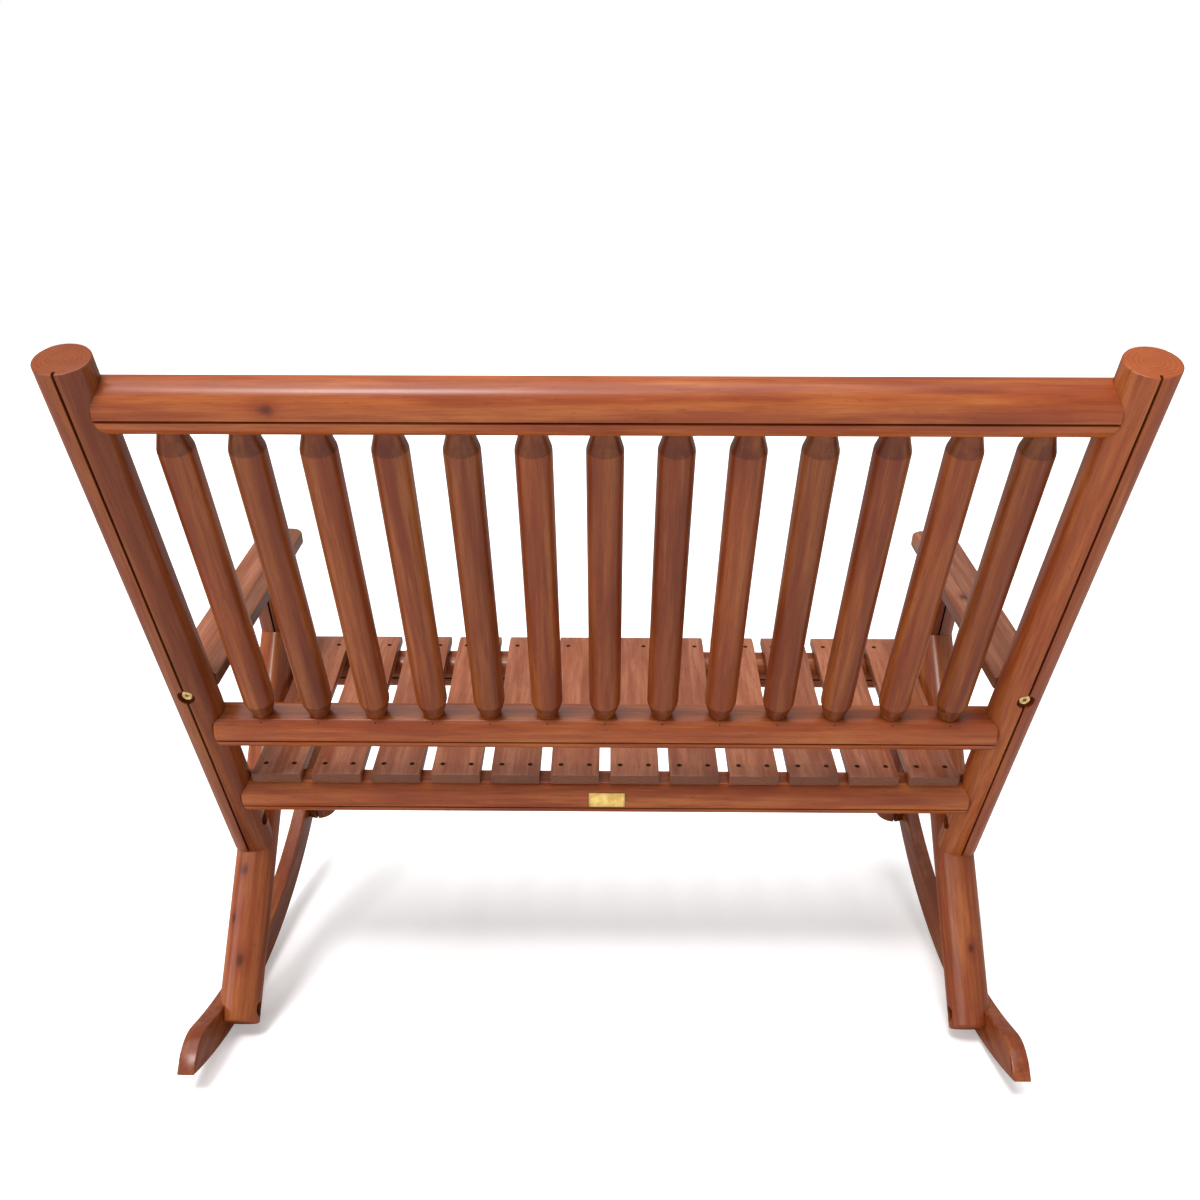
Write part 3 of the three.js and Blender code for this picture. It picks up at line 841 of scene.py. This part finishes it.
# How fine each pattern of the wood is, in turns to a metre: across, through and along the grain
sway_scale = (3, 3, 2.2)
lean_scale = (5, 4, 1.6)
rough_ring_scale = (60, 60, 5)
band_scale = (42, 42, 2.6)
streak_scale = (150, 150, 8)
cloud_scale = (14, 14, 8)
pore_scale = (900, 900, 26)
speck_scale = (260, 260, 60)
knot_warp_scale = (120, 120, 50)

# How far the pith wanders from the middle of a piece, and the rings from round
pith_sway = 30 * mm
pith_lean = 35 * mm
ring_roughness = 4 * mm

# Where a pattern starts, where it is full, and the share of its colour that it then lays on
band_layer = (0.37, 0.63, 0.74)
least_band = 0.13
cloud_layer = (0.3, 0.7, 0.65)
dark_streak_layer = (0.46, 0.7, 0.55)
light_streak_layer = (0.46, 0.3, 0.45)
pore_layer = (0.48, 0.72, 0.5)
speck_layer = (0.66, 0.8, 0.25)
late_wood_range = (0.35, 1.0)
late_wood_share = 0.2

# Knots, in shares of their size, and a place far from any knot
knot_length = 1.6
knot_warp = 0.9
knot_heart_range = (0.1, 1.15)
knot_heart_share = 0.8
knot_ring_range = (0.5, 2.8)
knot_ring_share = 0.55
no_knot = (9, 9, 9)

# Sawn ends and tapers, by how far a face turns toward the piece's length
sawn_range = (0.72, 0.92)
sawn_share = 0.55
sawn_late_wood_share = 0.25
taper_range = (0.1, 0.2)

# Faces cut into a log, such as kerfs and bores, by their depth under its bark; painted shade darkens them
inside_range = (0.8 * mm, 4 * mm)
bark_range = (1 * mm, 2 * mm)
recess_painted_shade = 0.3

# The second strip of a glued board
strip_range = (0.2 * mm, 0.8 * mm)
joint_range = (-0.8 * mm, 0.2 * mm)
joint_share = 0.7
strip_seed_step = 4
seed_steps = (7.3, 3.1, 5.7)

# The wood's relief, and how much duller each pattern makes it
wood_relief = 0.6 * mm
wood_relief_strength = 0.4
pore_height = 0.25
streak_height = 0.5
late_wood_height = 0.2
knot_height = 0.8
pore_dulling = 0.12
cloud_dulling = 0.14
sawn_dulling = 0.2
knot_dulling = 0.15
inside_dulling = 0.3

# The varnish over the wood
varnish = 0.2
varnish_roughness = 0.27
varnish_index = 1.9

# Metals: a dull film, fine scratches that run one way, and the plate's darker rim
film_range = (0.35, 0.7)
film_dulling = 0.2
scratch_dulling = 0.12
scratch_stretch = Vector((9, 2, 2))
scratch_depth = 0.1 * mm
scratch_strength = 0.3
brush_scale = (900, 900, 25)
brush_dulling = 0.25
brush_strength = 0.35
plate_film_scale = (90, 90, 90)
plate_film_dulling = 0.1
plate_roughness = 0.32
plate_rim_layer = (0.86, 1.0, 0.45)


def written_sum(operation):
    return lambda wire, other: wire.finish.sum(operation, wire, other)


class Wire:
    """A value in a finish, on which sums can be written out."""

    __add__ = __radd__ = written_sum("ADD")
    __sub__ = written_sum("SUBTRACT")
    __mul__ = written_sum("MULTIPLY")
    __truediv__ = written_sum("DIVIDE")
    __pow__ = written_sum("POWER")

    def __init__(self, finish, socket):
        self.finish = finish
        self.socket = socket

    def __rsub__(self, other):
        return self.finish.sum("SUBTRACT", other, self)


class Finish:
    """A material or the world, and the nodes that it is mixed from."""

    def __init__(self, owner):
        self.owner = owner
        owner.use_nodes = True
        self.tree = owner.node_tree
        self.tree.nodes.clear()

    def node(self, kind, inputs={}, output=0, **settings):
        node = self.tree.nodes.new(kind)
        for name, value in settings.items():
            setattr(node, name, value)
        for name, value in inputs.items():
            if isinstance(value, Wire):
                self.tree.links.new(value.socket, node.inputs[name])
            else:
                node.inputs[name].default_value = value
        return Wire(self, node.outputs[output]) if node.outputs else None

    def sum(self, operation, first, second=0.0):
        return self.node("ShaderNodeMath", {0: first, 1: second}, operation=operation)

    def vector_sum(self, operation, inputs, output="Vector"):
        return self.node("ShaderNodeVectorMath", inputs, output, operation=operation)

    def parts(self, vector):
        x = self.node("ShaderNodeSeparateXYZ", {0: vector})
        sockets = x.socket.node.outputs
        return x, Wire(self, sockets[1]), Wire(self, sockets[2])

    def attribute(self, name):
        return self.node("ShaderNodeAttribute", output="Vector", attribute_name=name)

    def noise(self, place, scale, detail, roughness=0.5):
        """A cloudy value between 0 and 1, mostly near a half."""
        scaled = self.vector_sum("MULTIPLY", {0: place, 1: scale})
        inputs = {"Vector": scaled, "Scale": 1.0, "Detail": detail, "Roughness": roughness}
        return self.node("ShaderNodeTexNoise", inputs, "Fac")

    def between(self, value, reach):
        """0 before the first value of a reach, 1 past its second, and a smooth step between them."""
        inputs = {"Value": value, "From Min": reach[0], "From Max": reach[1]}
        return self.node("ShaderNodeMapRange", inputs, interpolation_type="SMOOTHSTEP")

    def layer(self, value, layer):
        return self.between(value, layer) * layer[2]

    def mix(self, share, first, second):
        return self.node("ShaderNodeMix", {0: share, 6: first, 7: second}, 2, data_type="RGBA")

    def bump(self, height, distance, strength):
        inputs = {"Strength": strength, "Distance": distance, "Height": height}
        return self.node("ShaderNodeBump", inputs)

    def surface(self, **inputs):
        inputs = {name.replace("_", " "): value for name, value in inputs.items()}
        shader = self.node("ShaderNodeBsdfPrincipled", inputs)
        self.node("ShaderNodeOutputMaterial", {"Surface": shader})
        return self.owner


def new_finish(name):
    return Finish(bpy.data.materials.new(name))


def knot_marks(paint, warp):
    """How strongly each place belongs to a knot's dark heart, and to the stained ring round it."""
    nearest = no_knot[0]
    for letter in "abc":
        distance = paint.vector_sum("LENGTH", {0: paint.attribute("knot_" + letter)}, "Value")
        nearest = paint.sum("MINIMUM", distance, nearest)
    return [1 - paint.between(nearest + warp, reach) for reach in (knot_heart_range, knot_ring_range)]


def late_wood(paint, x, y, own, ring_pitch, pith_drop):
    """The darker half of each yearly ring, round a pith that wanders along the piece."""
    sway = paint.noise(own, sway_scale, 1.0) - 0.5
    lean = paint.noise(own, lean_scale, 1.0) - 0.5
    from_pith_x = x + sway * pith_sway
    from_pith_y = y + pith_drop + lean * pith_lean
    from_pith = (from_pith_x * from_pith_x + from_pith_y * from_pith_y) ** 0.5
    rough_rings = from_pith + (paint.noise(own, rough_ring_scale, 2.0) - 0.5) * ring_roughness
    rings = paint.sum("SINE", rough_rings * (2 * math.pi / ring_pitch)) * 0.5 + 0.5
    return paint.between(rings, late_wood_range)


def wood(name, colours, ring_pitch, pith_drop, gloss, end_stain_and_shade, taper_painted_shade):
    """Stained timber: rings round a pith, bands and streaks, fine pores, knots and darker sawn ends."""
    light, middle, dark, heart_colour = (plain(*colour) for colour in colours)
    paint = new_finish(name)
    grain = paint.attribute("grain")
    seed, lightness, bark = paint.parts(paint.attribute("tone"))
    strip_edge, strip_way, strip_painted_shading = paint.parts(paint.attribute("strip"))
    x, y, _ = paint.parts(grain)

    # Along a glued strip's edge this is the dark joint. A piece without a strip has 0 for its way, and there
    # the same term lies evenly over the whole piece, as its dark stain.
    past_edge = (x - strip_edge) * strip_way
    second_strip = paint.between(past_edge, strip_range)
    joint_stain = paint.between(past_edge, joint_range) * (1 - second_strip)
    own_seed = seed + second_strip * strip_seed_step
    offset = paint.node("ShaderNodeCombineXYZ", {i: own_seed * seed_steps[i] for i in range(3)})
    own = paint.vector_sum("ADD", {0: grain, 1: offset})

    late = late_wood(paint, x, y, own, ring_pitch, pith_drop)
    bands = paint.noise(own, band_scale, 2.0)
    streaks = paint.noise(own, streak_scale, 4.0, 0.6)
    clouds = paint.noise(own, cloud_scale, 3.0, 0.6)
    pores = paint.noise(own, pore_scale, 2.0, 0.6)
    specks = paint.noise(own, speck_scale, 1.0)
    heart, ring = knot_marks(paint, (paint.noise(own, knot_warp_scale, 2.0) - 0.5) * knot_warp)

    normal = paint.node("ShaderNodeNewGeometry", output="Normal")
    facing_end = paint.vector_sum("DOT_PRODUCT", {0: normal, 1: paint.attribute("lie")}, "Value")
    toward_end = paint.sum("ABSOLUTE", facing_end)
    sawn = paint.between(toward_end, sawn_range)
    # Tapered faces: painted shade on a spindle's turned-down ends
    tapered = paint.between(toward_end, taper_range) * (1 - sawn)
    # Faces cut into a log get painted shade, and are duller
    under_bark = bark - (x * x + y * y) ** 0.5
    inside = paint.between(under_bark, inside_range) * (1 - sawn) * paint.between(bark, bark_range)

    colour = paint.mix(paint.layer(bands, band_layer) + least_band, dark, light)
    colour = paint.mix(paint.layer(clouds, cloud_layer), colour, middle)
    colour = paint.mix(paint.layer(streaks, dark_streak_layer), colour, dark)
    colour = paint.mix(paint.layer(streaks, light_streak_layer), colour, light)
    colour = paint.mix(late * late_wood_share, colour, dark)
    colour = paint.mix(paint.layer(pores, pore_layer), colour, dark)
    colour = paint.mix(paint.layer(specks, speck_layer), colour, heart_colour)
    colour = paint.mix(ring * knot_ring_share, colour, dark)
    colour = paint.mix(heart * knot_heart_share, colour, heart_colour)
    colour = paint.mix(joint_stain * joint_share, colour, heart_colour)
    colour = paint.mix(sawn * sawn_share, colour, paint.mix(late * sawn_late_wood_share, middle, dark))
    # The second strip's own lightness is painted light and shade
    strip_tone = 1 + second_strip * (strip_painted_shading - 1)
    # Painted shade: tapers and faces cut into a log are darkened as if in shadow, and sawn ends partly so
    # and partly for their end grain
    shade = (1 - sawn * end_stain_and_shade) * (1 - tapered * taper_painted_shade) * (1 - inside * recess_painted_shade)
    colour = paint.vector_sum("SCALE", {0: colour, "Scale": lightness * strip_tone * shade})

    height = pores * pore_height + streaks * streak_height + late * late_wood_height - heart * knot_height
    polish = gloss + (pores - 0.5) * pore_dulling + (clouds - 0.5) * cloud_dulling
    polish = polish + sawn * sawn_dulling + heart * knot_dulling + inside * inside_dulling
    return paint.surface(
        Base_Color=colour, Roughness=polish, Specular_IOR_Level=0.0,
        Normal=paint.bump(height, wood_relief, wood_relief_strength),
        Coat_Weight=varnish, Coat_Roughness=varnish_roughness, Coat_IOR=varnish_index,
    )


def log_wood(name="log_wood", taper_painted_shade=0.0):
    colours = (0.9, 0.53, 0.27), (0.8, 0.4, 0.19), (0.6, 0.24, 0.1), (0.22, 0.09, 0.05)
    return wood(name, colours, 5.2 * mm, 0.0, gloss=0.4, end_stain_and_shade=0.4, taper_painted_shade=taper_painted_shade)


def spindle_wood():
    """The logs' wood, with painted shade darkening a spindle where it is turned down at its ends."""
    return log_wood("spindle_wood", taper_painted_shade=0.34)


def board_wood():
    colours = (0.84, 0.56, 0.42), (0.76, 0.46, 0.32), (0.57, 0.3, 0.19), (0.24, 0.11, 0.07)
    return wood("board_wood", colours, 6.5 * mm, 45 * mm, gloss=0.45, end_stain_and_shade=0.66, taper_painted_shade=0.0)


def metal(name, bright, dull, roughness, scale):
    """Plated metal with a dull film and fine scratches."""
    paint = new_finish(name)
    place = paint.node("ShaderNodeTexCoord", output="Object")
    film = paint.noise(place, (scale, scale, scale), 3.0)
    scratches = paint.noise(place, scratch_stretch * scale, 2.0)
    colour = paint.mix(paint.between(film, film_range), bright, dull)
    rough = roughness + (film - 0.5) * film_dulling + (scratches - 0.5) * scratch_dulling
    relief = paint.bump(scratches, scratch_depth, scratch_strength)
    return paint.surface(Base_Color=colour, Metallic=1.0, Roughness=rough, Normal=relief)


def bolt_metal():
    return metal("bolt_metal", plain(0.80, 0.69, 0.46), plain(0.60, 0.50, 0.32), roughness=0.36, scale=160)


def screw_metal():
    return metal("screw_metal", plain(0.22, 0.14, 0.10), plain(0.12, 0.07, 0.05), roughness=0.6, scale=300)


def plate_brass():
    """Brushed brass, a little darker along its rim."""
    paint = new_finish("plate_brass")
    grain = paint.attribute("grain")
    x, _, z = paint.parts(grain)
    brushed = paint.noise(grain, brush_scale, 3.0)
    film = paint.noise(grain, plate_film_scale, 3.0)
    to_end = paint.sum("ABSOLUTE", z) / (plate_length / 2)
    to_edge = paint.sum("ABSOLUTE", x) / (plate_height / 2)
    rim = paint.layer(paint.sum("MAXIMUM", to_end, to_edge), plate_rim_layer)
    colour = paint.mix(paint.between(film, film_range), plain(0.87, 0.75, 0.46), plain(0.76, 0.62, 0.35))
    colour = paint.mix(rim, colour, plain(0.45, 0.33, 0.17))
    rough = plate_roughness + (brushed - 0.5) * brush_dulling + (film - 0.5) * plate_film_dulling
    relief = paint.bump(brushed, scratch_depth, brush_strength)
    return paint.surface(Base_Color=colour, Metallic=1.0, Roughness=rough, Normal=relief)


# Dressing of the pieces

smoothing_angle = 32 * degree
place_of_seat = seat_place()
finish_makers = (log_wood, spindle_wood, board_wood, bolt_metal, screw_metal, plate_brass)
finishes = {maker.__name__: maker() for maker in finish_makers}


def vectors(piece, name, values):
    """Gives each corner of a piece a vector that its finish reads by name."""
    attribute = piece.data.attributes.new(name, "FLOAT_VECTOR", "POINT")
    attribute.data.foreach_set("vector", [number for value in values for number in value])


def mark_knot(piece, name, places, knot):
    """Each corner's place as seen from a knot, in shares of the knot's size."""
    if knot is None:
        vectors(piece, name, [no_knot] * len(places))
        return
    heart, size = knot
    stretch = Vector((1 / size, 1 / size, 1 / (size * knot_length)))
    vectors(piece, name, [(place - heart) * stretch for place in places])


def dressed(piece, name, finish, tone=(0, 1), bark=0.0, strip=(0, 0, 1), node=None):
    """Finishes a piece: its grain, its tone and knots, and its place on the bench."""
    lie = lies.pop(piece.name)
    piece.name = name
    piece.data.name = name
    own = lie.inverted()
    places = [own @ corner.co for corner in piece.data.vertices]
    axis = (place_of_seat @ lie).to_3x3() @ along_z
    vectors(piece, "grain", places)
    for attribute, value in (("tone", (*tone, bark)), ("strip", strip), ("lie", axis)):
        vectors(piece, attribute, [value] * len(places))
    for letter, knot in zip("abc", knots.get(name, []) + [None] * 3):
        mark_knot(piece, "knot_" + letter, places, knot)
    piece.data.materials.clear()
    piece.data.materials.append(finishes[finish])
    piece.matrix_world = place_of_seat
    keep_place(piece)
    bpy.ops.object.shade_smooth_by_angle(angle=smoothing_angle)
    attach(piece, "root")
    if node:
        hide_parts(*node.split())


def dressed_log(piece, name, bark=log_radius):
    dressed(piece, name, "log_wood", tones[name], bark, node=name)


def on_log(height, turn):
    """A place on a log's side, by its height along it and its turn from the marked side."""
    return Vector((log_radius * math.sin(turn), log_radius * math.cos(turn), height))


# Each piece's tone: the number that starts its own pattern, and how light it is. The arms have a glued
# strip and so no stain all over, and are darkened by their lightness instead
tones = {
    "back_post_left": (2.3, 0.74),
    "back_post_right": (0.3, 1.02),
    "rear_leg_left": (5.1, 0.95),
    "rear_leg_right": (3.1, 0.86),
    "front_leg_left": (8.7, 0.7),
    "front_leg_right": (6.7, 0.7),
    "rocker_left": (10.2, 0.75),
    "rocker_right": (8.2, 0.75),
    "armrest_left": (13.4, 0.47),
    "armrest_right": (11.4, 0.34),
    "top_rail": (21.3, 1.15),
    "lower_back_rail": (23.9, 1.1),
    "rear_seat_rail": (25.1, 1.1),
    "front_seat_rail": (27.6, 0.8),
}


def spindle_tone(index):
    """A lightness that goes up and down from one spindle to the next."""
    return 31 + 1.7 * index, 0.82 + 0.08 * math.sin(4 * index + 1)


def slat_tone(index):
    return 61 + 2.3 * index, 1.1 + 0.1 * math.sin(2.6 * index)


# The edge of each arm's second strip, the way that it lies from there, and its own lightness: painted shade
# on the left arm's inner strip, painted light on the right one's
arm_strips = {left: (-arm_strip_inward, -1, 0.6), right: (arm_strip_inward, 1, 1.2)}

# The knots that stand out, each by its place and its size
knots = {
    "rear_leg_left": [
        (on_log(249 * mm, 15 * degree), 9 * mm),
        (on_log(167 * mm, 33 * degree), 7 * mm),
        (on_log(98 * mm, -2 * degree), 9 * mm),
    ],
    "rear_leg_right": [(on_log(125 * mm, -7 * degree), 6 * mm)],
    "armrest_right": [(Vector((14 * mm, arm_thickness / 2, -5 * mm)), 7 * mm)],
    "top_rail": [(on_log(960 * mm, -24 * degree), 8 * mm)],
}

for side, hand in ((left, "left"), (right, "right")):
    dressed_log(back_post(side), "back_post_" + hand)
    dressed_log(rear_leg(side), "rear_leg_" + hand)
    dressed_log(front_leg(side), "front_leg_" + hand)
    dressed_log(rocker(side), "rocker_" + hand, bark=0.0)
    name = "armrest_" + hand
    dressed(armrest(side), name, "board_wood", tones[name], strip=arm_strips[side], node=name)

dressed_log(spindle_rail("top_rail", top_rail, -1), "top_rail")
dressed_log(spindle_rail("lower_back_rail", lower_rail, 1), "lower_back_rail")
dressed_log(rear_rail(), "rear_seat_rail")
dressed_log(front_rail(), "front_seat_rail")
dressed(name_plate(), "name_plate", "plate_brass", node="name_plate")
dressed(nail_marks(), "spindle_nails", "screw_metal")

blank = spindle_blank()
for index in range(spindle_count):
    start, direction, _, side = spindle_axis(index)
    name = "spindle_%02d" % (index + 1)
    piece = copied(blank, name + "_turned", basis(start, direction, side))
    dressed(piece, name, "spindle_wood", spindle_tone(index), node=name)
bpy.data.objects.remove(blank)

blank = slat_blank()
screws = screw_blank()
for index in range(slat_count):
    x = ((slat_count - 1) / 2 - index) * (slat_width + slat_gap)
    name = "seat_slat_%02d" % (index + 1)
    piece = copied(blank, name + "_board", Matrix.Translation((x, 0, 0)))
    lies[piece.name] = basis(Vector((x, 0, 0)), -along_y, along_z)
    dressed(piece, name, "board_wood", slat_tone(index), node=name)
    screw_name = "slat_screws_%02d" % (index + 1)
    piece = copied(screws, screw_name + "_set", Matrix.Translation((x, 0, 0)))
    dressed(piece, screw_name, "screw_metal")
bpy.data.objects.remove(blank)
bpy.data.objects.remove(screws)

for name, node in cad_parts.items():
    if "bolt" in name or "nut" in name:
        node.data.materials.clear()
        node.data.materials.append(finishes["bolt_metal"])


# Floor, light and camera

white = (1, 1, 1, 1)
floor_grey = (0.8, 0.8, 0.8, 1)
floor_size = 60
floor_lift = 0.3
fill_strength = 0.47

# The suns: where each one comes from, how strong it is, and how wide it looks
suns = {
    "key": ((0.15, 0.1, 1.0), 2.2, 50 * degree),
    "rear": ((0.2, 0.5, 0.85), 1.95, 14 * degree),
    "side": ((1.0, 0.6, 0.3), 1.25, 40 * degree),
}

# The camera, fitted to the photograph in the seat's own frame. Its last two values are in photo widths
photo_size = 1200
camera_place = Vector((-0.00624, 1.42751, 1.08144))
camera_pitch = 34.774 * degree
camera_yaw = 0.548 * degree
camera_focal = 1134.382 / photo_size
camera_rise = 128.577 / photo_size
sensor_width = 36
sight_end = 100


def floor():
    """A pale floor that shows the bench's shadow and nothing else."""
    piece = drawn("floor", bpy.ops.mesh.primitive_plane_add, size=floor_size)
    paint = new_finish("pale_floor")
    path = paint.node("ShaderNodeLightPath", output="Is Camera Ray")
    diffuse = paint.node("ShaderNodeBsdfDiffuse", {"Color": floor_grey})
    lift = paint.node("ShaderNodeEmission", {"Color": white, "Strength": floor_lift})
    both = paint.node("ShaderNodeAddShader", {0: diffuse, 1: lift})
    shown = paint.node("ShaderNodeMixShader", {0: path, 1: diffuse, 2: both})
    paint.node("ShaderNodeOutputMaterial", {"Surface": shown})
    piece.data.materials.append(paint.owner)


def sun(name, toward, strength, width):
    """A soft light from far away."""
    lamp = bpy.data.lights.new(name, "SUN")
    lamp.energy = strength
    lamp.angle = width
    holder = bpy.data.objects.new(name, lamp)
    bpy.context.scene.collection.objects.link(holder)
    holder.rotation_euler = Vector(toward).to_track_quat("Z", "Y").to_euler()


def room_light():
    """White to the camera and in reflections, and softer as the light that falls on the pieces."""
    world = bpy.data.worlds.new("studio")
    bpy.context.scene.world = world
    paint = Finish(world)
    shown = paint.node("ShaderNodeLightPath", output="Is Camera Ray")
    for ray in ("Is Glossy Ray", "Is Transmission Ray"):
        shown = paint.sum("MAXIMUM", shown, paint.node("ShaderNodeLightPath", output=ray))
    fill = paint.node("ShaderNodeBackground", {"Color": white, "Strength": fill_strength})
    backdrop = paint.node("ShaderNodeBackground", {"Color": white, "Strength": 1.0})
    both = paint.node("ShaderNodeMixShader", {0: shown, 1: fill, 2: backdrop})
    paint.node("ShaderNodeOutputWorld", {"Surface": both})


def camera():
    """The camera where the photograph was taken from."""
    lens = bpy.data.cameras.new("photo")
    lens.sensor_width = sensor_width
    lens.lens = sensor_width * camera_focal
    lens.shift_y = camera_rise
    lens.clip_end = sight_end
    holder = bpy.data.objects.new("photo", lens)
    bpy.context.scene.collection.objects.link(holder)
    level = math.cos(camera_pitch)
    forward = Vector((math.sin(camera_yaw) * level, -math.cos(camera_yaw) * level, -math.sin(camera_pitch)))
    across = forward.cross(along_z).normalized()
    up = across.cross(forward)
    turn = Matrix((across, up, -forward)).transposed().to_4x4()
    holder.matrix_world = place_of_seat @ Matrix.Translation(camera_place) @ turn
    bpy.context.scene.camera = holder


floor()
room_light()
for name, (toward, strength, width) in suns.items():
    sun(name, toward, strength, width)
camera()
bpy.context.scene.view_settings.view_transform = "Standard"
